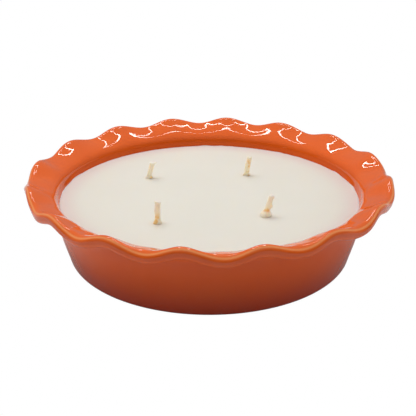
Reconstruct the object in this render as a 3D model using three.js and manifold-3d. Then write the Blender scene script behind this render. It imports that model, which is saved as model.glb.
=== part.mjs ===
// A four-wick candle poured in a round ceramic dish with a ruffled rim.
// Millimetres, +Z up. The origin is on the table, under the middle of the dish; -Y is the front.
import * as THREE from 'three';
import { mergeVertices } from 'three/addons/utils/BufferGeometryUtils.js';
import Module from 'manifold-3d';

// Driving dimensions
const RIM_RADIUS = 130;            // to the outer edge of the lip
const RIM_HEIGHT = 58.2;           // mean height of the wavy edge above the table
const SCALLOPS = 16;
const WAVE_HEIGHT = 2.73;          // the edge rises and falls by this much
const WAVE_IN_OUT = 0.43;          // and moves in and out by this much
const WAVE_PEAKS = 0.26;           // in-and-out ripple twice in each scallop
const WAVE_LEAD = 1.11;            // rad, how far the rise runs ahead of the in-and-out movement
const WAVE_SLANT = 0.143;          // rad, how much further ahead it is at the foot of the flange
const WAVE_START = 107.9;          // the radius where the wave dies away
const WAVE_FULL = 128.4;           // the radius where it is full
const WAVE_FADE = 1.35;            // how steeply it does
// Half way up the flange, as shares of the wave's height:
const WAVE_SAG = 0.103;            // behind, the wave is lower by this
const WAVE_FLATTEN = 0.0355;       // and its crests are rounder
const WAVE_CRISP = 0.17;           // in front its crests stand up more crisply
const CRISP_TO = 0.15;             // sine of the angle round the rim where the crisp crests end
const SOFT_FROM = 0.45;            // and where the soft ones start
const UNDERSIDE_WAVE = 0.9;        // the underside follows the wave a little less
const FIRST_SCALLOP = 1.908;       // rad, from +X
const DRIFT_ONCE = 0.1;            // rad of phase: the scallops are not quite evenly spaced
const DRIFT_TWICE = 0.316;
const LIP_DEPTH = 8.0;             // height of the lip's outer face
const LIP_TOP_ROUND = 3.3;
const LIP_BOTTOM_ROUND = 3.2;
const LIP_BACK = 0.3;              // the foot of the lip's face stands back by this much
// The top of the flange as (radius, mean height), from the lip in to where it rounds into the wall
const FLANGE_TOP = [[121, 55.8], [117, 53.95], [113.6, 52.2], [111.5, 50.8], [109.7, 48.9], [108.4, 45.6]];
const FOOT_ROUND = 4.8;
const WALL_FOOT_RADIUS = 100.6;    // the outer wall is a shallow arc: r = foot + lean z - bow z^2
const WALL_LEAN = 0.3475;
const WALL_BOW = 0.002164;
const WALL_THICKNESS = 4.4;
const WALL_TOP = 43.5;
const COVE = [[113.3, 46.6], [117, 48.2], [122, 49.5]];   // the underside, from the wall out towards the lip
const FLOOR_THICKNESS = 5;
const INNER_CORNER = 8;
const WAX_LEVEL = 41.55;
const WICK_RADIUS = 2;
const GAP = 0.3;
const DRIFT_ONCE_FROM = 0.62;      // rad, where the two parts of the unevenness start
const DRIFT_TWICE_FROM = 1.496;
const ROUND_STEPS = SCALLOPS * 8;
const WICK_SIDES = 10;
const WICK_STEPS = 12;

// name, foot of the visible wick (x, y), its height above the wax and how far its tip leans (x, y)
const WICKS = [
  { name: 'wick_back_left', x: -45.6, y: 32.9, height: 13.0, leanX: 3.7, leanY: 0.6 },
  { name: 'wick_back_right', x: 28.8, y: 38.6, height: 15.8, leanX: 2.1, leanY: -0.5 },
  { name: 'wick_front_left', x: -34.3, y: -50.8, height: 16.4, leanX: -0.3, leanY: 0.4 },
  { name: 'wick_front_right', x: 38.3, y: -38.4, height: 15.5, leanX: 4.4, leanY: 0.3 },
];

const glaze = new THREE.MeshStandardMaterial({ color: 0xd9622f, roughness: 0.12, metalness: 0 });
const wax = new THREE.MeshStandardMaterial({ color: 0xe6e1d4, roughness: 0.6, metalness: 0 });
const cotton = new THREE.MeshStandardMaterial({ color: 0xe3d6b8, roughness: 0.8, metalness: 0 });

// How far the outer wall stands from the axis at a height above the table
const wallRadius = (height) => WALL_FOOT_RADIUS + WALL_LEAN * height - WALL_BOW * height * height;

// Points of an arc in the (radius, height) plane, angles in degrees from outward, counter-clockwise
function arc(centreR, centreZ, radius, from, to, steps) {
  const points = [];
  for (let i = 0; i <= steps; i++) {
    const angle = THREE.MathUtils.degToRad(from + (to - from) * i / steps);
    points.push([centreR + radius * Math.cos(angle), centreZ + radius * Math.sin(angle)]);
  }
  return points;
}

// The share of the rim's ruffle that a point takes: none on the wall, all of it at the lip
function ruffleShare(radius) {
  const along = (radius - WAVE_START) / (WAVE_FULL - WAVE_START);
  return THREE.MathUtils.clamp(along, 0, 1) ** WAVE_FADE;
}

// The dish's section as (radius, height, share of the ruffle), from the axis under the foot and round
function dishSection() {
  const footFace = wallRadius(FOOT_ROUND) - FOOT_ROUND;
  const lipBottom = RIM_HEIGHT - LIP_DEPTH;
  const outside = [[0, 0], [footFace / 2, 0], ...arc(footFace, FOOT_ROUND, FOOT_ROUND, -90, -12, 3)];
  for (const height of [14, 24, 34, WALL_TOP]) outside.push([wallRadius(height), height]);
  outside.push(...COVE, ...arc(RIM_RADIUS - LIP_BACK - LIP_BOTTOM_ROUND, lipBottom + LIP_BOTTOM_ROUND,
    LIP_BOTTOM_ROUND, -80, 5, 3));
  const top = arc(RIM_RADIUS - LIP_TOP_ROUND, RIM_HEIGHT - LIP_TOP_ROUND, LIP_TOP_ROUND, 0, 116, 4);
  return [
    ...outside.map(([radius, height]) => [radius, height, UNDERSIDE_WAVE * ruffleShare(radius)]),
    ...[...top, ...FLANGE_TOP].map(([radius, height]) => [radius, height, ruffleShare(radius)]),
    ...hollowSection(0),
  ];
}

// The hollow of the dish below the flange, from the wax level down to the axis, drawn in by a gap
function hollowSection(gap) {
  const cornerR = wallRadius(FLOOR_THICKNESS + INNER_CORNER) - WALL_THICKNESS - INNER_CORNER;
  const cornerZ = FLOOR_THICKNESS + INNER_CORNER;
  const section = [];
  for (const height of [WAX_LEVEL, 28, 18]) {
    section.push([wallRadius(height) - WALL_THICKNESS - gap, height]);
  }
  section.push(...arc(cornerR, cornerZ, INNER_CORNER - gap, 0, -90, 3), [0, FLOOR_THICKNESS + gap]);
  return section.map(([radius, height]) => [radius, height, 0]);
}

// The rise and the outward shift at an angle about the axis of a point with a share of the ruffle
function ruffle(angle, share) {
  const phase = SCALLOPS * (angle - FIRST_SCALLOP)
    + DRIFT_ONCE * Math.cos(angle + DRIFT_ONCE_FROM) - DRIFT_TWICE * Math.cos(2 * angle - DRIFT_TWICE_FROM);
  const turn = phase + WAVE_LEAD + WAVE_SLANT * (1 - share);
  const soft = WAVE_SAG * Math.cos(turn) + WAVE_FLATTEN * Math.cos(2 * turn);
  const crisp = -WAVE_CRISP * Math.cos(2 * turn);
  const behind = THREE.MathUtils.smoothstep(Math.sin(angle), CRISP_TO, SOFT_FROM);
  const halfWay = 4 * share * (1 - share);
  return {
    rise: WAVE_HEIGHT * (share * Math.cos(turn) - halfWay * THREE.MathUtils.lerp(crisp, soft, behind)),
    outward: share * (WAVE_PEAKS * Math.cos(2 * phase) - WAVE_IN_OUT * Math.cos(phase)),
  };
}

// Turns a section about +Z and ruffles it; the section starts and ends on the axis
function turned(section) {
  const outline = section.map(([radius, height]) => new THREE.Vector2(radius, height));
  const geometry = new THREE.LatheGeometry(outline, ROUND_STEPS).rotateX(Math.PI / 2);
  const position = geometry.attributes.position;
  const point = new THREE.Vector3();
  for (let i = 0; i < position.count; i++) {
    const [radius, height, share] = section[i % section.length];
    point.fromBufferAttribute(position, i);
    const angle = Math.atan2(point.y, point.x);
    const { rise, outward } = ruffle(angle, share);
    const reach = radius + outward;
    position.setXYZ(i, reach * Math.cos(angle), reach * Math.sin(angle), height + rise);
  }
  return geometry;
}

// A wick runs straight up through the wax and leans over above it
class WickPath extends THREE.Curve {
  constructor(wick, from) {
    super();
    this.wick = wick;
    this.from = from;
  }

  getPoint(t, target = new THREE.Vector3()) {
    const { x, y, height, leanX, leanY } = this.wick;
    const z = THREE.MathUtils.lerp(this.from, WAX_LEVEL + height, t);
    const lean = (Math.max(0, z - WAX_LEVEL) / height) ** 1.5;
    return target.set(x + leanX * lean, y + leanY * lean, z);
  }
}

function disc(radius, sides) {
  const shape = new THREE.Shape();
  for (let i = 0; i < sides; i++) {
    const angle = 2 * Math.PI * i / sides;
    const [x, y] = [radius * Math.cos(angle), radius * Math.sin(angle)];
    if (i === 0) shape.moveTo(x, y);
    else shape.lineTo(x, y);
  }
  shape.closePath();
  return shape;
}

function wickGeometry(wick) {
  const extrudePath = new WickPath(wick, FLOOR_THICKNESS + GAP);
  return new THREE.ExtrudeGeometry(disc(WICK_RADIUS, WICK_SIDES),
    { steps: WICK_STEPS, bevelEnabled: false, extrudePath });
}

const wasm = await Module();
wasm.setup();

function toSolid(geometry) {
  geometry.deleteAttribute('normal');
  geometry.deleteAttribute('uv');
  const merged = mergeVertices(geometry, 1e-4);
  const mesh = new wasm.Mesh({
    numProp: 3,
    vertProperties: new Float32Array(merged.attributes.position.array),
    triVerts: new Uint32Array(merged.index.array),
  });
  mesh.merge();
  return new wasm.Manifold(mesh);
}

function toGeometry(solid) {
  const mesh = solid.getMesh();
  const geometry = new THREE.BufferGeometry();
  geometry.setAttribute('position', new THREE.BufferAttribute(mesh.vertProperties, 3));
  geometry.setIndex(new THREE.BufferAttribute(mesh.triVerts, 1));
  geometry.computeVertexNormals();
  return geometry;
}

// The wax fills the dish up to its level, and each wick has its own bore through it
function waxGeometry() {
  let block = toSolid(turned([...hollowSection(GAP).reverse(), [0, WAX_LEVEL, 0]]));
  for (const wick of WICKS) {
    const bore = new THREE.CylinderGeometry(WICK_RADIUS + GAP, WICK_RADIUS + GAP, 2 * WAX_LEVEL, WICK_SIDES);
    bore.rotateX(Math.PI / 2).translate(wick.x, wick.y, WAX_LEVEL);
    block = block.subtract(toSolid(bore));
  }
  return toGeometry(block);
}

function named(name, geometry, material) {
  const mesh = new THREE.Mesh(geometry, material);
  mesh.name = name;
  return mesh;
}

const candle = new THREE.Group();
candle.add(named('dish', toGeometry(toSolid(turned(dishSection()))), glaze));
candle.add(named('wax', waxGeometry(), wax));
for (const wick of WICKS) {
  candle.add(named(wick.name, toGeometry(toSolid(wickGeometry(wick))), cotton));
}

export default candle;
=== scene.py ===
import math

import bpy
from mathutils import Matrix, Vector


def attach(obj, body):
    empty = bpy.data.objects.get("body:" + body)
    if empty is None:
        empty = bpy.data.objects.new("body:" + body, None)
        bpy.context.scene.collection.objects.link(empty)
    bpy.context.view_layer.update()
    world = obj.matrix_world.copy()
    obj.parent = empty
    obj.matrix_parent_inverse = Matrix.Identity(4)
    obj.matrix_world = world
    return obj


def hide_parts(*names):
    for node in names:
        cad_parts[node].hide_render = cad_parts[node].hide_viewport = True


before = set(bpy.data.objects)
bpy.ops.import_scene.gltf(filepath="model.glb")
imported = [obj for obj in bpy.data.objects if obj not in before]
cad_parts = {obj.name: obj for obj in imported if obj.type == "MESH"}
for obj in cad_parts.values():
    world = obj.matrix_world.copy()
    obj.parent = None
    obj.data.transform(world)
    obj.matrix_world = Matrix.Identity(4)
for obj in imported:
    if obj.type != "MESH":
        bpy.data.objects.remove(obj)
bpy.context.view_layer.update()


# ---- Camera ----
# The candle stands on a table and is seen from the front, from a little above its rim.
# It looks along +Y and down, and its lens shift only places the dish in the picture.
RIM_RADIUS = 0.130
RIM_HEIGHT = 0.0582
LOOK_DOWN = math.radians(20.97)
CAMERA_DISTANCE = 4.589 * RIM_RADIUS
camera_data = bpy.data.cameras.new("camera")
camera_data.sensor_width = 36
camera_data.lens = 71.98
camera_data.shift_x = -0.0032
camera_data.shift_y = -0.0842
camera_data.dof.use_dof = False
camera = bpy.data.objects.new("camera", camera_data)
camera.location = (0, -CAMERA_DISTANCE * math.cos(LOOK_DOWN),
                   RIM_HEIGHT + CAMERA_DISTANCE * math.sin(LOOK_DOWN))
camera.rotation_euler = (math.radians(90) - LOOK_DOWN, 0, 0)
bpy.context.scene.collection.objects.link(camera)
bpy.context.scene.camera = camera


# ---- Studio light and table ----
# A pale tent open towards the camera, with a sloping frame of four tube lamps hung above and behind the
# dish, which shows in the glaze as thin bright outlines. The plain table glows white only as a backdrop.
LAMP_FRAME = (0.305, 0.39)                  # its width and its slanting height
LAMP_WIDTH = 0.018
LAMP_GLOW = 64                              # watts for each square metre of a tube
LAMP_CENTRE = Vector((0, 0.374, 0.766))
LAMP_SLOPE = Vector((0, 0.4637, -0.886))    # the way down along the frame
LAMP_TILT = math.radians(-62.4)
TENT_FRONT_LIGHT = 0.05
TENT_BACK_LIGHT = 0.3
TENT_BACK_REACH = (-0.6, 0.5)               # how far back a direction points where its light starts, is full
TENT_ROOF_LIGHT = 0.5
TENT_ROOF_REACH = (0.1, 0.95)               # and how far up, for the roof's
TABLE_HALF = 3.0
TABLE_GREY = (0.78, 0.78, 0.78, 1)
TABLE_ROUGHNESS = 0.08
WHITE = (1, 1, 1, 1)


def hang_lamp(across, down, size):
    """One tube lamp, at a share of the frame's width across and of its height down from the centre."""
    data = bpy.data.lights.new("lamp", "AREA")
    data.shape = "RECTANGLE"
    data.size, data.size_y = size
    data.energy = LAMP_GLOW * size[0] * size[1]
    lamp = bpy.data.objects.new("lamp", data)
    sideways = Vector((across * LAMP_FRAME[0], 0, 0))
    lamp.location = LAMP_CENTRE + sideways + LAMP_SLOPE * down * LAMP_FRAME[1]
    lamp.rotation_euler = (LAMP_TILT, 0, 0)
    lamp.visible_diffuse = False
    bpy.context.scene.collection.objects.link(lamp)


for side in (-0.5, 0.5):
    hang_lamp(0, side, (LAMP_FRAME[0], LAMP_WIDTH))
    hang_lamp(side, 0, (LAMP_WIDTH, LAMP_FRAME[1]))

# Soft panels overhead, in front and at both sides, which light the candle and don't show in the glaze
for name, place, tilt, turn, size, watts in (
        ("key", (-0.25, 0.45, 1.35), 0, 0, 1.0, 11.6),
        ("fill", (0, -1.3, 0.3), 80, 0, 0.9, 2.9),
        ("left", (-1.2, 0.0, 0.3), 80, -90, 0.9, 5.4),
        ("right", (1.2, 0.0, 0.3), 80, 90, 0.9, 4.6)):
    soft = bpy.data.lights.new(name, "AREA")
    soft.size = size
    soft.energy = watts
    panel = bpy.data.objects.new(name, soft)
    panel.location = place
    panel.rotation_euler = (math.radians(tilt), 0, math.radians(turn))
    panel.visible_glossy = False
    bpy.context.scene.collection.objects.link(panel)

world = bpy.data.worlds.new("tent")
world.use_nodes = True
world_nodes, world_links = world.node_tree.nodes, world.node_tree.links
world_nodes.clear()
direction = world_nodes.new("ShaderNodeSeparateXYZ")
world_links.new(world_nodes.new("ShaderNodeTexCoord").outputs["Generated"], direction.inputs[0])
back = world_nodes.new("ShaderNodeMapRange")
back.interpolation_type = "SMOOTHSTEP"
for name, value in (("From Min", TENT_BACK_REACH[0]), ("From Max", TENT_BACK_REACH[1]),
                    ("To Min", TENT_FRONT_LIGHT), ("To Max", TENT_BACK_LIGHT)):
    back.inputs[name].default_value = value
world_links.new(direction.outputs["Y"], back.inputs["Value"])
roof = world_nodes.new("ShaderNodeMapRange")
roof.interpolation_type = "SMOOTHSTEP"
for name, value in (("From Min", TENT_ROOF_REACH[0]), ("From Max", TENT_ROOF_REACH[1])):
    roof.inputs[name].default_value = value
world_links.new(direction.outputs["Z"], roof.inputs["Value"])
tent = world_nodes.new("ShaderNodeMix")
tent.inputs["B"].default_value = TENT_ROOF_LIGHT
world_links.new(roof.outputs["Result"], tent.inputs["Factor"])
world_links.new(back.outputs["Result"], tent.inputs["A"])
tent_light = world_nodes.new("ShaderNodeBackground")
world_links.new(tent.outputs["Result"], tent_light.inputs["Strength"])
tent_light.inputs["Color"].default_value = WHITE
backdrop = world_nodes.new("ShaderNodeBackground")
backdrop.inputs["Color"].default_value = WHITE
shown = world_nodes.new("ShaderNodeMixShader")
world_links.new(world_nodes.new("ShaderNodeLightPath").outputs["Is Camera Ray"], shown.inputs["Fac"])
world_links.new(tent_light.outputs[0], shown.inputs[1])
world_links.new(backdrop.outputs[0], shown.inputs[2])
world_links.new(shown.outputs[0], world_nodes.new("ShaderNodeOutputWorld").inputs["Surface"])
bpy.context.scene.world = world
bpy.context.scene.view_settings.view_transform = "Standard"

table_mesh = bpy.data.meshes.new("table")
table_corners = [(x * TABLE_HALF, y * TABLE_HALF, 0) for x, y in ((-1, -1), (1, -1), (1, 1), (-1, 1))]
table_mesh.from_pydata(table_corners, [], [(0, 1, 2, 3)])
table = bpy.data.objects.new("table", table_mesh)
bpy.context.scene.collection.objects.link(table)
table_white = bpy.data.materials.new("table_white")
table_white.use_nodes = True
table_nodes, table_links = table_white.node_tree.nodes, table_white.node_tree.links
table_top = table_nodes["Principled BSDF"]
table_top.inputs["Base Color"].default_value = TABLE_GREY
table_top.inputs["Roughness"].default_value = TABLE_ROUGHNESS
table_glow = table_nodes.new("ShaderNodeEmission")
table_shown = table_nodes.new("ShaderNodeMixShader")
table_links.new(table_nodes.new("ShaderNodeLightPath").outputs["Is Camera Ray"], table_shown.inputs["Fac"])
table_links.new(table_top.outputs[0], table_shown.inputs[1])
table_links.new(table_glow.outputs[0], table_shown.inputs[2])
table_links.new(table_shown.outputs[0], table_nodes["Material Output"].inputs["Surface"])
table_mesh.materials.append(table_white)


# ---- Dish ----
# A round stoneware pie dish, pressed in a mould: a nearly straight wall with a flared flange whose
# edge rises and falls in sixteen scallops. It is dipped in glossy orange glaze all over.
MM = 0.001                    # lengths from here on are in millimetres until they enter a mesh or a tree
WALL_FOOT_RADIUS = 100.6      # the outer wall is a shallow arc: radius = foot + lean z - bow z^2
WALL_LEAN = 0.3475
WALL_BOW = 0.002164
WALL_THICKNESS = 4.4
WALL_TOP = 43.5
FOOT_ROUND = 4.8
COVE = [(113.3, 46.6), (117, 48.2), (122, 49.5)]      # (radius, height) of the underside, out towards the lip
LIP_TOP_ROUND = 3.3
LIP_BOTTOM_ROUND = 3.2
LIP_DEPTH = 8.0
LIP_BACK = 0.3                # the foot of the lip's face stands back by this much
FLANGE_TOP = [(121, 55.8), (117, 53.95), (113.6, 52.2), (111.5, 50.8), (110, 49.3), (108.9, 47.4),
              (108.3, 45.2)]
FLANGE_FOOT = 42.5            # the height where the flange has run out into the inner wall
FLOOR_THICKNESS = 5.0
INNER_CORNER = 8.0
WAX_LEVEL = 41.55
ROUND_STEPS = 384
SEAM_GAP = 1e-6               # m, points closer than this are joined where the skin meets itself

# The scallops of the rim: lengths in mm, angles in radians
SCALLOPS = 16
WAVE_START = 107.9            # the radius where the wave dies away
WAVE_FULL = 128.4             # the radius where it is full
WAVE_FADE = 1.35              # how steeply it does
WAVE_HEIGHT = 2.73
WAVE_IN_OUT = 0.43
WAVE_PEAKS = 0.26             # in-and-out ripple twice in each scallop
WAVE_LEAD = 1.11              # how far the rise runs ahead of the in-and-out movement
WAVE_SLANT = 0.143            # how much further ahead it is at the foot of the flange
WAVE_SAG = 0.103              # behind, the wave is lower by this
WAVE_FLATTEN = 0.0355         # and its crests are rounder
WAVE_CRISP = 0.17             # in front its crests stand up more crisply
CRISP_TO = 0.15               # sine of the angle round the rim where the crisp crests end
SOFT_FROM = 0.45              # and where the soft ones start
UNDERSIDE_WAVE = 0.9          # the underside follows the wave a little less
FIRST_SCALLOP = 1.908         # from +X
DRIFT_ONCE = 0.1              # the scallops aren't quite evenly spaced
DRIFT_ONCE_FROM = 0.62
DRIFT_TWICE = 0.316
DRIFT_TWICE_FROM = 1.496

# Where painted shade darkens the glaze (below 0), in the inner corner partly pooled glaze, and where the
# glaze has drawn thin and a highlight is painted (above 0)
# painted shade over the whole outer wall
WALL_PAINTED_SHADE = 0.25
FOOT_PAINTED_SHADE = 0.7               # more painted shade towards the foot,
FOOT_SHADE_HEIGHT = 34         # from this height down
FOOT_SHADE_FADE = 1.3
# painted shade on the underside under the flange
COVE_PAINTED_SHADE = 0.1
# painted shade under the lip
LIP_UNDER_PAINTED_SHADE = 0.3
LIP_UNDER_STEPS = 9           # steps up the lip's lower round over which it deepens
LIP_THIN_HIGHLIGHT_STEP = 6             # the step over the lip's top where the glaze is thinnest and a highlight is painted
LIP_THIN_HIGHLIGHT_WIDTH = 1.4
# painted dark reflection on the lip's outer face
LIP_FACE_PAINTED_DARK = 0.35
LIP_FACE_DARK_WIDTH = 2.2
# pooled glaze and painted shade, darker down into the inner corner
INNER_POOL_AND_SHADE = 0.3
INNER_SHADE_FROM = 50.5
INNER_SHADE_DEPTH = 6

# Colours of the glaze, as (red, green, blue), and the share of each laid over the one before
GLAZE_BODY = ((0.78, 0.106, 0.005), (0.83, 0.136, 0.011))
GLAZE_CREST = (0.80, 0.15, 0.035)
GLAZE_CREST_SHARE = 0.25
# painted shade and dark reflection, and pooled glaze in the inner corner
GLAZE_POOLED_AND_SHADED = (0.31, 0.018, 0.002)
# thin glaze, partly a painted highlight
GLAZE_THIN_AND_HIGHLIGHT = (0.90, 0.34, 0.11)
GLAZE_THIN_HIGHLIGHT_SHARE = 0.8
GLAZE_ROUGHNESS = 0.03
GLAZE_IOR = 1.5


def wall_radius(z):
    """How far the outer wall stands from the axis at a height."""
    return WALL_FOOT_RADIUS + WALL_LEAN * z - WALL_BOW * z * z


def arc(centre, radius, start, end, steps):
    """Points of an arc in the (radius, height) plane, with its angles in degrees from outward."""
    angles = [math.radians(start + (end - start) * i / steps) for i in range(steps + 1)]
    return [(centre[0] + radius * math.cos(a), centre[1] + radius * math.sin(a)) for a in angles]


def between(start, end, steps):
    """Points of a straight line."""
    return [(start[0] + (end[0] - start[0]) * i / steps, start[1] + (end[1] - start[1]) * i / steps)
            for i in range(steps + 1)]


def smooth_through(points, steps):
    """Points of a smooth curve through a few (radius, height) points."""
    ends = [points[0]] + list(points) + [points[-1]]
    curve = []
    for before, start, end, after in zip(ends, ends[1:], ends[2:], ends[3:]):
        for i in range(steps):
            t = i / steps
            curve.append(tuple(
                0.5 * (2 * s + (e - b) * t + (2 * b - 5 * s + 4 * e - a) * t * t
                       + (3 * s - b - 3 * e + a) * t ** 3)
                for b, s, e, a in zip(before, start, end, after)))
    return curve + [points[-1]]


def dish_section():
    """The dish's section from the axis under the foot, out and up the wall, over the lip and down inside.

    Each point is (radius, height, share of the ruffle, glaze): the glaze is 1 where it has drawn thin and a
    highlight is painted, and -1 where shade is painted, which in the inner corner is partly pooled glaze."""
    rim, top = RIM_RADIUS / MM, RIM_HEIGHT / MM
    foot_face = wall_radius(FOOT_ROUND) - FOOT_ROUND
    foot = between((0, 0), (foot_face, 0), 8) + arc((foot_face, FOOT_ROUND), FOOT_ROUND, -90, -12, 8)
    wall = [(wall_radius(z), z) for z in range(8, 43, 2)]
    under = smooth_through([(wall_radius(WALL_TOP), WALL_TOP)] + COVE, 7)
    lip_low = arc((rim - LIP_BACK - LIP_BOTTOM_ROUND, top - LIP_DEPTH + LIP_BOTTOM_ROUND),
                  LIP_BOTTOM_ROUND, -80, 5, 10)
    lip_high = arc((rim - LIP_TOP_ROUND, top - LIP_TOP_ROUND), LIP_TOP_ROUND, 0, 116, 14)
    run_out = (wall_radius(FLANGE_FOOT) - WALL_THICKNESS, FLANGE_FOOT)
    flange = smooth_through([lip_high[-1]] + FLANGE_TOP + [run_out], 7)[1:]
    inner_wall = [(wall_radius(z) - WALL_THICKNESS, z) for z in range(40, 13, -3)]
    corner = inner_corner()
    floor = (arc(corner, INNER_CORNER, 0, -90, 8)
             + between((corner[0] - INNER_CORNER, FLOOR_THICKNESS), (0, FLOOR_THICKNESS), 6))

    section = []
    # painted shade on the outer wall, deeper towards the foot
    for r, z in foot + wall:
        shade_and_pool = WALL_PAINTED_SHADE + FOOT_PAINTED_SHADE * max(0.0, 1 - z / FOOT_SHADE_HEIGHT) ** FOOT_SHADE_FADE
        section.append((r, z, UNDERSIDE_WAVE * ruffle_share(r), -shade_and_pool))
    # painted shade under the flange
    for r, z in under:
        section.append((r, z, UNDERSIDE_WAVE * ruffle_share(r), -COVE_PAINTED_SHADE))
    # painted shade, deeper up under the lip
    for step, (r, z) in enumerate(lip_low):
        shade_and_pool = LIP_UNDER_PAINTED_SHADE * (step / LIP_UNDER_STEPS) ** 2
        section.append((r, z, UNDERSIDE_WAVE * ruffle_share(r), -shade_and_pool))
    # thin glaze with a painted highlight on the lip's top
    for step, (r, z) in enumerate(lip_high):
        thin_and_highlight = math.exp(-((step - LIP_THIN_HIGHLIGHT_STEP) / LIP_THIN_HIGHLIGHT_WIDTH) ** 2)
        # painted dark reflection on the lip's outer face
        shade_and_pool = LIP_FACE_PAINTED_DARK * math.exp(-(step / LIP_FACE_DARK_WIDTH) ** 2)
        section.append((r, z, ruffle_share(r), thin_and_highlight - shade_and_pool))
    # pooled glaze and painted shade, darker down the inner corner
    for r, z in flange + inner_wall:
        shade_and_pool = INNER_POOL_AND_SHADE * min(1, max(0, (INNER_SHADE_FROM - z) / INNER_SHADE_DEPTH))
        section.append((r, z, ruffle_share(r), -shade_and_pool))
    return section + [(r, z, 0.0, 0.0) for r, z in floor]


def inner_corner():
    """The centre of the round between the inner wall and the floor."""
    height = FLOOR_THICKNESS + INNER_CORNER
    return wall_radius(height) - WALL_THICKNESS - INNER_CORNER, height


def ruffle_share(radius):
    """How much of the rim's ruffle a point at a radius (mm) takes: none on the wall, all at the lip."""
    return min(1, max(0, (radius - WAVE_START) / (WAVE_FULL - WAVE_START))) ** WAVE_FADE


def section_object(name, section):
    """A chain of edges along a section in the XZ plane; its points keep their third and fourth values."""
    mesh = bpy.data.meshes.new(name)
    mesh.from_pydata([(point[0] * MM, 0, point[1] * MM) for point in section],
                     [(i, i + 1) for i in range(len(section) - 1)], [])
    for place, label in ((2, "share"), (3, "edge")):
        values = mesh.attributes.new(label, "FLOAT", "POINT")
        values.data.foreach_set("value", [point[place] for point in section])
    chain = bpy.data.objects.new(name, mesh)
    bpy.context.scene.collection.objects.link(chain)
    return chain


def new_tree(name, inputs):
    """A Geometry Nodes tree with a geometry in and out and the named inputs (name, socket type, value)."""
    tree = bpy.data.node_groups.new(name, "GeometryNodeTree")
    tree.interface.new_socket("Geometry", in_out="INPUT", socket_type="NodeSocketGeometry")
    for label, kind, value in inputs:
        socket = tree.interface.new_socket(label, in_out="INPUT", socket_type=kind)
        if value is not None:
            socket.default_value = value
    tree.interface.new_socket("Geometry", in_out="OUTPUT", socket_type="NodeSocketGeometry")
    return tree, tree.nodes.new("NodeGroupInput").outputs


def add(tree, kind, *sockets, **settings):
    """A new node with its settings; each of sockets feeds the input in its place, as a link or as a value."""
    node = tree.nodes.new(kind)
    for name, value in settings.items():
        setattr(node, name, value)
    for place, feed in zip(node.inputs, sockets):
        if isinstance(feed, bpy.types.NodeSocket):
            tree.links.new(feed, place)
        elif feed is not None:
            place.default_value = feed
    return node


def calc(tree, operation, *sockets):
    """A sum on single values."""
    return add(tree, "ShaderNodeMath", *sockets, operation=operation).outputs[0]


def attribute(tree, name):
    """A value that the points carry."""
    node = tree.nodes.new("GeometryNodeInputNamedAttribute")
    node.data_type = "FLOAT"
    node.inputs["Name"].default_value = name
    return node.outputs[0]


def store(tree, geometry, name, value):
    """The geometry, with a value written on its points."""
    node = tree.nodes.new("GeometryNodeStoreNamedAttribute")
    node.data_type, node.domain = "FLOAT", "POINT"
    node.inputs["Name"].default_value = name
    tree.links.new(geometry, node.inputs["Geometry"])
    tree.links.new(value, node.inputs["Value"])
    return node.outputs[0]


def finish_tree(tree, geometry, material):
    """Shades smooth, realizes and sets the material, as the last nodes of a tree."""
    smooth = add(tree, "GeometryNodeSetShadeSmooth", geometry)
    real = add(tree, "GeometryNodeRealizeInstances", smooth.outputs[0])
    painted = tree.nodes.new("GeometryNodeSetMaterial")
    tree.links.new(real.outputs[0], painted.inputs["Geometry"])
    tree.links.new(material, painted.inputs["Material"])
    out = tree.nodes.new("NodeGroupOutput")
    tree.links.new(painted.outputs[0], out.inputs[0])


def made_by_tree(name, base, tree, values):
    """The plain mesh piece that a tree makes from a base object, with the tree's named inputs set."""
    modifier = base.modifiers.new(tree.name, "NODES")
    modifier.node_group = tree
    for item in tree.interface.items_tree:
        if item.in_out == "INPUT" and item.name in values:
            modifier[item.identifier] = values[item.name]
    bpy.context.view_layer.update()
    evaluated = base.evaluated_get(bpy.context.evaluated_depsgraph_get())
    mesh = bpy.data.meshes.new_from_object(evaluated)
    base.modifiers.remove(modifier)
    bpy.data.objects.remove(base)
    mesh.name = name
    piece = bpy.data.objects.new(name, mesh)
    bpy.context.scene.collection.objects.link(piece)
    return piece


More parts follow.
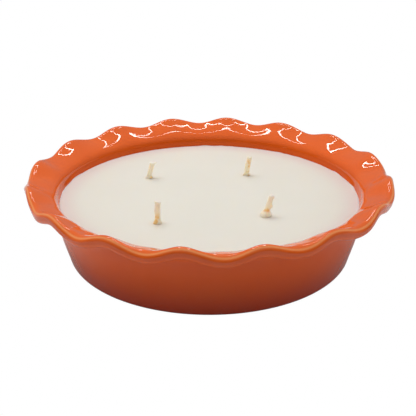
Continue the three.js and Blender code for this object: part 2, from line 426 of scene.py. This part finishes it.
def turned_section_tree():
    """Turns a section about +Z into a closed skin whose points carry their angle, share and edge."""
    tree, ins = new_tree("turned section", [("Round Steps", "NodeSocketInt", 64)])
    section = ins["Geometry"]
    count = add(tree, "GeometryNodeAttributeDomainSize", section).outputs["Point Count"]
    last = calc(tree, "SUBTRACT", count, 1.0)
    columns = calc(tree, "ADD", ins["Round Steps"], 1.0)
    grid = add(tree, "GeometryNodeMeshGrid", ins["Round Steps"], last, columns, count)
    place = add(tree, "ShaderNodeSeparateXYZ", add(tree, "GeometryNodeInputPosition").outputs[0])
    turn = calc(tree, "ADD", calc(tree, "DIVIDE", place.outputs["X"], ins["Round Steps"]), 0.5)
    angle = calc(tree, "MULTIPLY", turn, 2 * math.pi)
    row = calc(tree, "ROUND", calc(tree, "ADD", place.outputs["Y"], calc(tree, "MULTIPLY", last, 0.5)))
    shape = tree.nodes.new("GeometryNodeSampleIndex")
    shape.data_type = "FLOAT_VECTOR"
    tree.links.new(section, shape.inputs["Geometry"])
    tree.links.new(add(tree, "GeometryNodeInputPosition").outputs[0], shape.inputs["Value"])
    tree.links.new(row, shape.inputs["Index"])
    shaped = grid.outputs["Mesh"]
    for label in ("share", "edge"):
        kept = tree.nodes.new("GeometryNodeSampleIndex")
        tree.links.new(section, kept.inputs["Geometry"])
        tree.links.new(attribute(tree, label), kept.inputs["Value"])
        tree.links.new(row, kept.inputs["Index"])
        shaped = store(tree, shaped, label, kept.outputs[0])
    spot = add(tree, "ShaderNodeSeparateXYZ", shape.outputs[0])
    around = add(tree, "ShaderNodeCombineXYZ",
                 calc(tree, "MULTIPLY", spot.outputs["X"], calc(tree, "COSINE", angle)),
                 calc(tree, "MULTIPLY", spot.outputs["X"], calc(tree, "SINE", angle)), spot.outputs["Z"])
    placed = tree.nodes.new("GeometryNodeSetPosition")
    tree.links.new(shaped, placed.inputs["Geometry"])
    tree.links.new(around.outputs[0], placed.inputs["Position"])
    closed = add(tree, "GeometryNodeMergeByDistance", placed.outputs[0])
    closed.inputs["Distance"].default_value = SEAM_GAP
    stands = add(tree, "ShaderNodeSeparateXYZ", add(tree, "GeometryNodeInputPosition").outputs[0])
    bearing = calc(tree, "ARCTAN2", stands.outputs["Y"], stands.outputs["X"])
    out = tree.nodes.new("NodeGroupOutput")
    tree.links.new(store(tree, closed.outputs[0], "angle", bearing), out.inputs[0])
    return tree


def turned_in(tree, ins, turned):
    """The skin of the section that comes into a tree, turned about +Z."""
    skin = tree.nodes.new("GeometryNodeGroup")
    skin.node_tree = turned
    tree.links.new(ins["Geometry"], skin.inputs["Geometry"])
    tree.links.new(ins["Round Steps"], skin.inputs["Round Steps"])
    return skin.outputs[0]


def moved(tree, geometry, offset):
    """The geometry with each point moved by an offset."""
    node = tree.nodes.new("GeometryNodeSetPosition")
    tree.links.new(geometry, node.inputs["Geometry"])
    tree.links.new(offset, node.inputs["Offset"])
    return node.outputs[0]


def smooth_step(tree, value, low, high):
    """0 below the low value, 1 above the high one and smooth between."""
    step = tree.nodes.new("ShaderNodeMapRange")
    step.interpolation_type = "SMOOTHSTEP"
    tree.links.new(value, step.inputs["Value"])
    step.inputs["From Min"].default_value = low
    step.inputs["From Max"].default_value = high
    return step.outputs["Result"]


def ruffled_tree(turned):
    """Turns a section and lifts and pushes its rim in scallops, unevenly spaced and crisper at the front."""
    tree, ins = new_tree("ruffled dish", [
        ("Round Steps", "NodeSocketInt", 64), ("Scallops", "NodeSocketFloat", 16.0),
        ("Rise", "NodeSocketFloat", 0.003), ("In And Out", "NodeSocketFloat", 0.0004),
        ("Peaks", "NodeSocketFloat", 0.0003), ("Lead", "NodeSocketFloat", 1.0),
        ("Slant", "NodeSocketFloat", 0.3), ("Sag", "NodeSocketFloat", 0.1),
        ("Flatten", "NodeSocketFloat", 0.03), ("Crisp", "NodeSocketFloat", 0.1),
        ("First Scallop", "NodeSocketFloat", 0.0), ("Drift Once", "NodeSocketFloat", 0.1),
        ("Drift Twice", "NodeSocketFloat", 0.3), ("Material", "NodeSocketMaterial", None)])
    skin = turned_in(tree, ins, turned)
    angle, share = attribute(tree, "angle"), attribute(tree, "share")
    single = calc(tree, "ADD", angle, DRIFT_ONCE_FROM)
    once = calc(tree, "MULTIPLY", ins["Drift Once"], calc(tree, "COSINE", single))
    double = calc(tree, "MULTIPLY_ADD", angle, 2.0, -DRIFT_TWICE_FROM)
    twice = calc(tree, "MULTIPLY", ins["Drift Twice"], calc(tree, "COSINE", double))
    even = calc(tree, "MULTIPLY", ins["Scallops"], calc(tree, "SUBTRACT", angle, ins["First Scallop"]))
    phase = calc(tree, "SUBTRACT", calc(tree, "ADD", even, once), twice)
    slant = calc(tree, "MULTIPLY", ins["Slant"], calc(tree, "SUBTRACT", 1.0, share))
    turn = calc(tree, "ADD", calc(tree, "ADD", phase, ins["Lead"]), slant)
    wave = calc(tree, "COSINE", turn)
    middle = calc(tree, "MULTIPLY", calc(tree, "MULTIPLY", share, 4.0), calc(tree, "SUBTRACT", 1.0, share))
    twofold = calc(tree, "COSINE", calc(tree, "MULTIPLY", turn, 2.0))
    soft = calc(tree, "ADD", calc(tree, "MULTIPLY", ins["Sag"], wave),
                calc(tree, "MULTIPLY", ins["Flatten"], twofold))
    crisp = calc(tree, "MULTIPLY", calc(tree, "MULTIPLY", ins["Crisp"], -1.0), twofold)
    behind = smooth_step(tree, calc(tree, "SINE", angle), CRISP_TO, SOFT_FROM)
    flatter = calc(tree, "ADD", calc(tree, "MULTIPLY", behind, soft),
                   calc(tree, "MULTIPLY", calc(tree, "SUBTRACT", 1.0, behind), crisp))
    lift = calc(tree, "MULTIPLY", ins["Rise"], calc(tree, "SUBTRACT", calc(tree, "MULTIPLY", share, wave),
                                                   calc(tree, "MULTIPLY", middle, flatter)))
    sway = calc(tree, "MULTIPLY", ins["In And Out"], calc(tree, "COSINE", phase))
    peaks = calc(tree, "MULTIPLY", ins["Peaks"], calc(tree, "COSINE", calc(tree, "MULTIPLY", phase, 2.0)))
    reach = calc(tree, "MULTIPLY", share, calc(tree, "SUBTRACT", peaks, sway))
    offset = add(tree, "ShaderNodeCombineXYZ", calc(tree, "MULTIPLY", reach, calc(tree, "COSINE", angle)),
                 calc(tree, "MULTIPLY", reach, calc(tree, "SINE", angle)), lift)
    ruffled = moved(tree, skin, offset.outputs[0])
    marked = store(tree, ruffled, "ridge", calc(tree, "MULTIPLY", share, wave))
    finish_tree(tree, marked, ins["Material"])
    return tree


def relief_group():
    """A shader group: fine bumps of a size and depth, as a normal, with the pattern itself as a value."""
    group = bpy.data.node_groups.new("fine relief", "ShaderNodeTree")
    for label, kind, value in (
            ("Scale", "NodeSocketFloat", 100.0), ("Detail", "NodeSocketFloat", 2.0),
            ("Depth", "NodeSocketFloat", 0.00002), ("Normal", "NodeSocketVector", None)):
        socket = group.interface.new_socket(label, in_out="INPUT", socket_type=kind)
        if value is not None:
            socket.default_value = value
        else:
            socket.hide_value = True
    group.interface.new_socket("Normal", in_out="OUTPUT", socket_type="NodeSocketVector")
    group.interface.new_socket("Pattern", in_out="OUTPUT", socket_type="NodeSocketFloat")
    ins, out = group.nodes.new("NodeGroupInput").outputs, group.nodes.new("NodeGroupOutput")
    noise = group.nodes.new("ShaderNodeTexNoise")
    group.links.new(group.nodes.new("ShaderNodeTexCoord").outputs["Object"], noise.inputs["Vector"])
    group.links.new(ins["Scale"], noise.inputs["Scale"])
    group.links.new(ins["Detail"], noise.inputs["Detail"])
    bump = group.nodes.new("ShaderNodeBump")
    group.links.new(noise.outputs["Fac"], bump.inputs["Height"])
    group.links.new(ins["Depth"], bump.inputs["Distance"])
    group.links.new(ins["Normal"], bump.inputs["Normal"])
    group.links.new(bump.outputs[0], out.inputs["Normal"])
    group.links.new(noise.outputs["Fac"], out.inputs["Pattern"])
    return group


def relief(material, scale, detail, depth, below=None):
    """A use of the fine relief group in a material; its outputs are the normal and the pattern.

    The scale is the number of lumps in a metre, roughly, and the depth is in metres."""
    node = material.node_tree.nodes.new("ShaderNodeGroup")
    node.node_tree = fine_relief
    for name, value in (("Scale", scale), ("Detail", detail), ("Depth", depth)):
        node.inputs[name].default_value = value
    if below is not None:
        material.node_tree.links.new(below, node.inputs["Normal"])
    return node.outputs


def blend(tree, factor, first, second):
    """A colour between two, each a colour or a socket."""
    mix = tree.nodes.new("ShaderNodeMix")
    mix.data_type = "RGBA"
    tree.links.new(factor, mix.inputs["Factor"])
    for name, colour in (("A", first), ("B", second)):
        place = next(socket for socket in mix.inputs if socket.name == name and socket.type == "RGBA")
        if isinstance(colour, bpy.types.NodeSocket):
            tree.links.new(colour, place)
        else:
            place.default_value = (*colour, 1)
    return next(socket for socket in mix.outputs if socket.type == "RGBA")


def stored(tree, name):
    """A value that the mesh carries, in a material."""
    node = tree.nodes.new("ShaderNodeAttribute")
    node.attribute_name = name
    return node.outputs["Fac"]


def new_material(name):
    """A material, with its node tree and its shader."""
    material = bpy.data.materials.new(name)
    material.use_nodes = True
    return material, material.node_tree, material.node_tree.nodes["Principled BSDF"]


def glaze_material():
    """Glossy orange glaze: clouded, paler on the crests and where it draws thin under a painted highlight,
    darker with painted shade and dark reflection, partly pooled glaze in the inner corner.
    """
    material, tree, shader = new_material("orange_glaze")
    cloud = relief(material, scale=45, detail=3, depth=0.00003)
    peel = relief(material, scale=420, detail=2, depth=0.000003, below=cloud["Normal"])
    edge = stored(tree, "edge")
    body = blend(tree, cloud["Pattern"], *GLAZE_BODY)
    crest = calc(tree, "MULTIPLY", calc(tree, "MAXIMUM", stored(tree, "ridge"), 0.0), GLAZE_CREST_SHARE)
    crested = blend(tree, crest, body, GLAZE_CREST)
    # painted shade, and in the inner corner pooled glaze, where the glaze value is below 0
    shade_and_pool = calc(tree, "MINIMUM", calc(tree, "MAXIMUM", calc(tree, "MULTIPLY", edge, -1.0), 0.0), 1.0)
    shaded_and_pooled = blend(tree, shade_and_pool, crested, GLAZE_POOLED_AND_SHADED)
    # thin glaze and painted highlight on the lip's top, where the glaze value is above 0
    thin_and_highlight = calc(tree, "MULTIPLY", calc(tree, "MAXIMUM", edge, 0.0), GLAZE_THIN_HIGHLIGHT_SHARE)
    tree.links.new(blend(tree, thin_and_highlight, shaded_and_pooled, GLAZE_THIN_AND_HIGHLIGHT), shader.inputs["Base Color"])
    tree.links.new(peel["Normal"], shader.inputs["Normal"])
    shader.inputs["Roughness"].default_value = GLAZE_ROUGHNESS
    shader.inputs["IOR"].default_value = GLAZE_IOR
    return material


fine_relief = relief_group()
turned_skin = turned_section_tree()
orange_glaze = glaze_material()
dish_profile = section_object("dish_section", dish_section())
dish = made_by_tree("glazed_dish", dish_profile, ruffled_tree(turned_skin), {
    "Round Steps": ROUND_STEPS, "Scallops": float(SCALLOPS), "Rise": WAVE_HEIGHT * MM,
    "In And Out": WAVE_IN_OUT * MM, "Peaks": WAVE_PEAKS * MM, "Lead": WAVE_LEAD, "Slant": WAVE_SLANT,
    "Sag": WAVE_SAG, "Flatten": WAVE_FLATTEN, "Crisp": WAVE_CRISP, "First Scallop": FIRST_SCALLOP,
    "Drift Once": DRIFT_ONCE, "Drift Twice": DRIFT_TWICE, "Material": orange_glaze})
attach(dish, "root")
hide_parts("dish")


# ---- Wax ----
# Ivory wax poured hot into the dish up to the foot of its flange and left to set. Its top is smooth and
# level. It grips the wall in a ragged line and stands a little round each wick, stained where the cotton
# bled.
WAX_GRIP = 0.12               # it reaches this far into the wall's face, so no gap shows
WAX_BASE_GAP = 0.2            # room under it
WAX_TOP_STEPS = 128
WAX_ROUND_STEPS = 320
# The edge as (distance from the wall, height above the level, how much of the ragged climb it takes)
WAX_EDGE = [(1.2, 0.03, 0.03), (0.8, 0.08, 0.2), (0.45, 0.12, 0.55), (0.2, 0.16, 0.85), (-0.1, 0.2, 1.0)]
WAX_CLIMB = 0.8
CLIMB_SCALE = 60
CLIMB_REACH = (0.48, 0.72)    # values of the noise where the edge starts to climb and has climbed
CLIMB_OUTWARD = 0.24          # the share of its climb that the edge also moves towards the wall
MOUND_HEIGHT = 0.7
MOUND_REACH = 4.2
MOUND_LUMP_SCALE = 330
MOUND_LEAST = 0.4             # the part of a mound that isn't lumpy
RIM_BOUNCE_REACH = (0.09, 0.108)     # m, the radii between which orange bounce light and shade from the dish's wall are painted on the wax
WAX_BODY = ((0.775, 0.745, 0.655), (0.80, 0.775, 0.69))
# painted orange bounce light and shade near the dish's wall
WAX_RIM_PAINTED_BOUNCE = (0.77, 0.67, 0.63)
WAX_STAIN = (0.74, 0.60, 0.40)
WAX_STAIN_SHARE = 0.45
WAX_ROUGHNESS = 0.5
WAX_IOR = 1.44
WAX_GLOW_WEIGHT = 0.35        # how much light wanders under the surface, how far and in which colours
WAX_GLOW_SCALE = 0.003        # m
WAX_GLOW_COLOURS = (1.0, 0.8, 0.55)

# Each wick, in mm: its foot, its height over the wax and how far its tip leans; the bead of wax round its
# foot as (thickness, height); its tip as (flare, rounding); the slope that its end is cut at; its lump as
# (size, side in radians, place up the wick from 0 to 1); and the stretch of it that is stained amber.
WICKS = {
    "back_left": {
        "foot": (-45.9, 32.6), "height": 13.0, "lean": (3.7, 0.6), "bead": (1.0, 1.4), "tip": (0.8, 0.4),
        "slant": (0.1, 0.0), "lump": (0.3, 3.0, 0.8), "amber": (0.0, 0.25)},
    "back_right": {
        "foot": (28.4, 38.2), "height": 15.8, "lean": (2.2, -0.5), "bead": (0.8, 1.2), "tip": (0.0, 1.1),
        "slant": (-0.1, 0.0), "lump": (0.25, 0.0, 0.75), "amber": (0.0, 0.9)},
    "front_left": {
        "foot": (-34.5, -50.8), "height": 16.2, "lean": (0.3, 0.4), "bead": (1.0, 2.0), "tip": (0.2, 0.7),
        "slant": (-0.15, 0.0), "lump": (0.5, 3.3, 0.6), "amber": (0.0, 0.5)},
    "front_right": {
        "foot": (38.3, -38.6), "height": 15.5, "lean": (4.4, 0.3), "bead": (2.1, 3.6), "tip": (0.0, 1.5),
        "slant": (-0.25, 0.0), "lump": (1.4, -0.2, 0.46), "amber": (0.3, 0.5)},
}


def wax_section():
    """The wax's section from the axis under it, out and up the wall, and in over its top to the middle.

    Each point is (radius, height, on top, at the wall)."""
    wall = wall_radius(WAX_LEVEL) - WALL_THICKNESS + WAX_GRIP
    top = [(wall * i / WAX_TOP_STEPS, WAX_LEVEL, 1, 0.0) for i in range(WAX_TOP_STEPS - 2)]
    edge = [(wall - inset, WAX_LEVEL + rise, 1, climb) for inset, rise, climb in WAX_EDGE]
    side = [(wall_radius(z) - WALL_THICKNESS + WAX_GRIP, z, 0, 0) for z in (40, 32, 24, 16)]
    base = (arc(inner_corner(), INNER_CORNER - WAX_BASE_GAP, -10, -90, 5)
            + [(0, FLOOR_THICKNESS + WAX_BASE_GAP)])
    downwards = top + edge + side + [(r, z, 0, 0) for r, z in base]
    return downwards[::-1]


def noise_value(tree, where, scale, detail):
    """A value from 0 to 1 that varies smoothly from place to place."""
    noise = tree.nodes.new("ShaderNodeTexNoise")
    tree.links.new(where, noise.inputs["Vector"])
    noise.inputs["Scale"].default_value = scale
    noise.inputs["Detail"].default_value = detail
    return noise.outputs[0]


def vector(tree, operation, *sockets, result="Vector"):
    """A sum on vectors; its result is a vector, or the "Value" where that is asked for."""
    return add(tree, "ShaderNodeVectorMath", *sockets, operation=operation).outputs[result]


def wax_tree(turned):
    """Turns the wax, raises its ragged edge along the wall and a low mound round each wick."""
    feet = [f"Foot {name}" for name in WICKS]
    tree, ins = new_tree("poured wax", [
        ("Round Steps", "NodeSocketInt", 64), ("Climb", "NodeSocketFloat", 0.001),
        ("Mound", "NodeSocketFloat", 0.0005), ("Mound Reach", "NodeSocketFloat", 0.004),
        ("Material", "NodeSocketMaterial", None)] + [(foot, "NodeSocketVector", None) for foot in feet])
    skin = turned_in(tree, ins, turned)
    place = add(tree, "GeometryNodeInputPosition").outputs[0]
    flat = vector(tree, "MULTIPLY", place, (1, 1, 0))
    near = None
    for foot in feet:
        away = vector(tree, "DISTANCE", flat, ins[foot], result="Value")
        ratio = calc(tree, "DIVIDE", away, ins["Mound Reach"])
        mound = calc(tree, "EXPONENT", calc(tree, "MULTIPLY", calc(tree, "MULTIPLY", ratio, ratio), -1.0))
        near = mound if near is None else calc(tree, "ADD", near, mound)
    near = calc(tree, "MULTIPLY", near, attribute(tree, "share"))
    marked = store(tree, skin, "near", near)
    ragged = smooth_step(tree, noise_value(tree, place, scale=CLIMB_SCALE, detail=3), *CLIMB_REACH)
    climb = calc(tree, "MULTIPLY", calc(tree, "MULTIPLY", ins["Climb"], attribute(tree, "edge")), ragged)
    radius = vector(tree, "LENGTH", flat, result="Value")
    # where the painted bounce light from the dish's wall lies
    marked = store(tree, marked, "rim", smooth_step(tree, radius, *RIM_BOUNCE_REACH))
    lumps = calc(tree, "ADD", MOUND_LEAST, noise_value(tree, place, scale=MOUND_LUMP_SCALE, detail=2))
    stand = calc(tree, "MULTIPLY", calc(tree, "MULTIPLY", ins["Mound"], near), lumps)
    outward = vector(tree, "NORMALIZE", flat)
    reach = vector(tree, "SCALE", outward, None, None, calc(tree, "MULTIPLY", climb, CLIMB_OUTWARD))
    upward = add(tree, "ShaderNodeCombineXYZ", 0.0, 0.0, calc(tree, "ADD", climb, stand)).outputs[0]
    placed = moved(tree, marked, vector(tree, "ADD", reach, upward))
    finish_tree(tree, placed, ins["Material"])
    return tree


def wax_material():
    """Smooth ivory wax, a little clouded, with the dish's orange bounce light and shade painted at its rim,
    and amber at the wicks.
    """
    material, tree, shader = new_material("ivory_wax")
    swirl = relief(material, scale=28, detail=4, depth=0.00025)
    grain = relief(material, scale=900, detail=2, depth=0.000012, below=swirl["Normal"])
    body = blend(tree, swirl["Pattern"], *WAX_BODY)
    bounce_lit = blend(tree, stored(tree, "rim"), body, WAX_RIM_PAINTED_BOUNCE)
    stain = calc(tree, "MULTIPLY", stored(tree, "near"), WAX_STAIN_SHARE)
    tree.links.new(blend(tree, stain, bounce_lit, WAX_STAIN), shader.inputs["Base Color"])
    tree.links.new(grain["Normal"], shader.inputs["Normal"])
    shader.inputs["Roughness"].default_value = WAX_ROUGHNESS
    shader.inputs["IOR"].default_value = WAX_IOR
    shader.inputs["Subsurface Weight"].default_value = WAX_GLOW_WEIGHT
    shader.inputs["Subsurface Radius"].default_value = WAX_GLOW_COLOURS
    shader.inputs["Subsurface Scale"].default_value = WAX_GLOW_SCALE
    return material


ivory_wax = wax_material()
wax_settings = {"Round Steps": WAX_ROUND_STEPS, "Climb": WAX_CLIMB * MM, "Mound": MOUND_HEIGHT * MM,
                "Mound Reach": MOUND_REACH * MM, "Material": ivory_wax}
for name, wick in WICKS.items():
    wax_settings[f"Foot {name}"] = (wick["foot"][0] * MM, wick["foot"][1] * MM, 0)
wax_profile = section_object("wax_section", wax_section())
wax = made_by_tree("poured_wax", wax_profile, wax_tree(turned_skin), wax_settings)
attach(wax, "root")
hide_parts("wax")


# ---- Wicks ----
# Four braided cotton wicks soaked in wax, cut a finger's breadth above the top. Each is stiff with wax,
# leans a little to one side, and ends in a greyer tip where the wax has thickened, darkened with painted
# shade.
WICK_RADIUS = 2.0
WICK_SUNK = 4                 # each starts this far below the level of the wax
WICK_STEPS = 90
WICK_ROUND_STEPS = 36
FLARE_BELOW_TIP = 0.1
FLARE_WIDTH = 0.8
BEAD_CROWN = 3                # how steeply a bead ends at its top
BRAID_DEPTH = 0.08
BRAID_TURN = 2400.0           # rad of the braid's pattern for each metre of wick
BRAID_STRANDS = 2.0
LUMP_BAND = 0.1               # height of a lump, as a share of the wick's
LUMP_ROUND = 3.0              # how narrow a lump is round the wick
FOOT_LOBES = 1.6
FOOT_LOBE_SCALE = 520
FOOT_LOBE_FADE = -7.0
END_CUT_REACH = (0.72, 1.0)   # the stretch of the wick that the slanting end draws on
LEAN_CURVE = 1.5
AMBER_START_REACH = (-0.08, 0.02)
AMBER_END_REACH = (-0.2, 0.05)
AMBER_BLOTCH_REACH = (0.42, 0.62)
TIP_CRUST_SHADE_REACH = (0.55, 1.0)
WICK_SHAFT = ((0.97, 0.78, 0.60), (0.98, 0.86, 0.73))
# greyer wax crust on the tip, darkened with painted shade
WICK_TIP_CRUST_AND_SHADE = (0.80, 0.73, 0.64)
WICK_AMBER = (0.88, 0.58, 0.25)
WICK_ROUGHNESS = 0.32
WICK_GLOW_WEIGHT = 1.0
WICK_GLOW_SCALE = 0.006       # m
WICK_GLOW_COLOURS = (1.0, 0.85, 0.6)


def wick_section(wick):
    """A wick's section: swollen with wax at its foot, a little wider at its tip and rounded off."""
    low, top = WAX_LEVEL - WICK_SUNK, WAX_LEVEL + wick["height"]
    flare, rounded = wick["tip"]
    bead, bead_height = wick["bead"]
    points = [(0, low, 0, 0)]
    for i in range(WICK_STEPS + 1):
        z = low + (top - rounded - low) * i / WICK_STEPS
        swell = bead * math.exp(-(max(0.0, z - WAX_LEVEL) / bead_height) ** BEAD_CROWN)
        cap = flare * math.exp(-((top - rounded - FLARE_BELOW_TIP - z) / FLARE_WIDTH) ** 2)
        points.append((WICK_RADIUS + swell + cap, z, 0, 0))
    radius = points[-1][0]
    points += [(r, z, 0, 0) for r, z in arc((radius - rounded, top - rounded), rounded, 12, 90, 7)]
    return points + [((radius - rounded) * i / 4, top, 0, 0) for i in (3, 2, 1, 0)]


def wick_tree(turned):
    """A wick turned about its axis, braided, given its lump and slant, set on its foot and leant over."""
    tree, ins = new_tree("waxed wick", [
        ("Round Steps", "NodeSocketInt", 24), ("Foot", "NodeSocketVector", None),
        ("Lean", "NodeSocketVector", None), ("Level", "NodeSocketFloat", 0.04),
        ("Height", "NodeSocketFloat", 0.015), ("Slant", "NodeSocketVector", None),
        ("Lump", "NodeSocketFloat", 0.0), ("Lump Side", "NodeSocketFloat", 0.0),
        ("Lump Height", "NodeSocketFloat", 0.5), ("Braid", "NodeSocketFloat", 0.00008),
        ("Lobes", "NodeSocketFloat", 0.0006), ("Amber From", "NodeSocketFloat", 0.0),
        ("Amber To", "NodeSocketFloat", 0.4), ("Material", "NodeSocketMaterial", None)])
    skin = turned_in(tree, ins, turned)
    where = add(tree, "GeometryNodeInputPosition").outputs[0]
    height = add(tree, "ShaderNodeSeparateXYZ", where).outputs["Z"]
    above = calc(tree, "MAXIMUM", calc(tree, "SUBTRACT", height, ins["Level"]), 0.0)
    rise = calc(tree, "DIVIDE", above, ins["Height"])
    angle = attribute(tree, "angle")
    low = smooth_step(tree, calc(tree, "SUBTRACT", rise, ins["Amber From"]), *AMBER_START_REACH)
    high = smooth_step(tree, calc(tree, "SUBTRACT", rise, ins["Amber To"]), *AMBER_END_REACH)
    marked = store(tree, skin, "rise", rise)
    marked = store(tree, marked, "amber", calc(tree, "MULTIPLY", low, calc(tree, "SUBTRACT", 1.0, high)))

    plait = calc(tree, "MULTIPLY", height, BRAID_TURN)
    strands = calc(tree, "MULTIPLY", angle, BRAID_STRANDS)
    one = calc(tree, "SINE", calc(tree, "ADD", strands, plait))
    other = calc(tree, "SINE", calc(tree, "SUBTRACT", strands, plait))
    braid = calc(tree, "MULTIPLY", ins["Braid"], calc(tree, "MULTIPLY", one, other))
    facing = calc(tree, "MAXIMUM", calc(tree, "COSINE", calc(tree, "SUBTRACT", angle, ins["Lump Side"])), 0.0)
    level = calc(tree, "DIVIDE", calc(tree, "SUBTRACT", rise, ins["Lump Height"]), LUMP_BAND)
    band = calc(tree, "EXPONENT", calc(tree, "MULTIPLY", calc(tree, "MULTIPLY", level, level), -1.0))
    narrow = calc(tree, "POWER", facing, LUMP_ROUND)
    lump = calc(tree, "MULTIPLY", calc(tree, "MULTIPLY", ins["Lump"], narrow), band)
    foot = calc(tree, "EXPONENT", calc(tree, "MULTIPLY", rise, FOOT_LOBE_FADE))
    seed = vector(tree, "ADD", where, ins["Foot"])
    uneven = calc(tree, "SUBTRACT", noise_value(tree, seed, scale=FOOT_LOBE_SCALE, detail=1), 0.5)
    lobe = calc(tree, "MULTIPLY", ins["Lobes"], calc(tree, "MULTIPLY", uneven, foot))
    bulge = calc(tree, "ADD", calc(tree, "ADD", braid, lump), lobe)
    around = add(tree, "ShaderNodeCombineXYZ", calc(tree, "MULTIPLY", bulge, calc(tree, "COSINE", angle)),
                 calc(tree, "MULTIPLY", bulge, calc(tree, "SINE", angle))).outputs[0]

    tilt = vector(tree, "DOT_PRODUCT", where, ins["Slant"], result="Value")
    cut = calc(tree, "MULTIPLY", tilt, smooth_step(tree, rise, *END_CUT_REACH))
    upward = add(tree, "ShaderNodeCombineXYZ", 0.0, 0.0, cut).outputs[0]
    leant = vector(tree, "SCALE", ins["Lean"], None, None, calc(tree, "POWER", rise, LEAN_CURVE))
    offset = vector(tree, "ADD", vector(tree, "ADD", leant, ins["Foot"]), around)
    placed = moved(tree, marked, vector(tree, "ADD", offset, upward))
    finish_tree(tree, placed, ins["Material"])
    return tree


def wick_material():
    """Cotton soaked in wax: blotched, with amber where the cotton shows and a greyer tip darkened with
    painted shade.
    """
    material, tree, shader = new_material("waxed_cotton")
    blotch = relief(material, scale=260, detail=2, depth=0.0001)
    fibre = relief(material, scale=1500, detail=3, depth=0.00004, below=blotch["Normal"])
    shaft = blend(tree, blotch["Pattern"], *WICK_SHAFT)
    # the tip: greyer wax crust, darkened with painted shade
    tipped = blend(tree, smooth_step(tree, stored(tree, "rise"), *TIP_CRUST_SHADE_REACH), shaft, WICK_TIP_CRUST_AND_SHADE)
    blotched = smooth_step(tree, blotch["Pattern"], *AMBER_BLOTCH_REACH)
    amber = calc(tree, "MULTIPLY", stored(tree, "amber"), blotched)
    tree.links.new(blend(tree, amber, tipped, WICK_AMBER), shader.inputs["Base Color"])
    tree.links.new(fibre["Normal"], shader.inputs["Normal"])
    shader.inputs["Roughness"].default_value = WICK_ROUGHNESS
    shader.inputs["Subsurface Weight"].default_value = WICK_GLOW_WEIGHT
    shader.inputs["Subsurface Radius"].default_value = WICK_GLOW_COLOURS
    shader.inputs["Subsurface Scale"].default_value = WICK_GLOW_SCALE
    return material


waxed_cotton = wick_material()
wick_shape = wick_tree(turned_skin)
for name, wick in WICKS.items():
    wick_profile = section_object("wick_section", wick_section(wick))
    lump, lump_side, lump_height = wick["lump"]
    piece = made_by_tree(f"waxed_wick_{name}", wick_profile, wick_shape, {
        "Round Steps": WICK_ROUND_STEPS, "Foot": (wick["foot"][0] * MM, wick["foot"][1] * MM, 0),
        "Lean": (wick["lean"][0] * MM, wick["lean"][1] * MM, 0), "Level": WAX_LEVEL * MM,
        "Height": wick["height"] * MM, "Slant": (*wick["slant"], 0), "Lump": lump * MM,
        "Lump Side": lump_side, "Lump Height": lump_height, "Braid": BRAID_DEPTH * MM,
        "Lobes": FOOT_LOBES * MM, "Amber From": wick["amber"][0], "Amber To": wick["amber"][1],
        "Material": waxed_cotton})
    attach(piece, "root")
    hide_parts(f"wick_{name}")
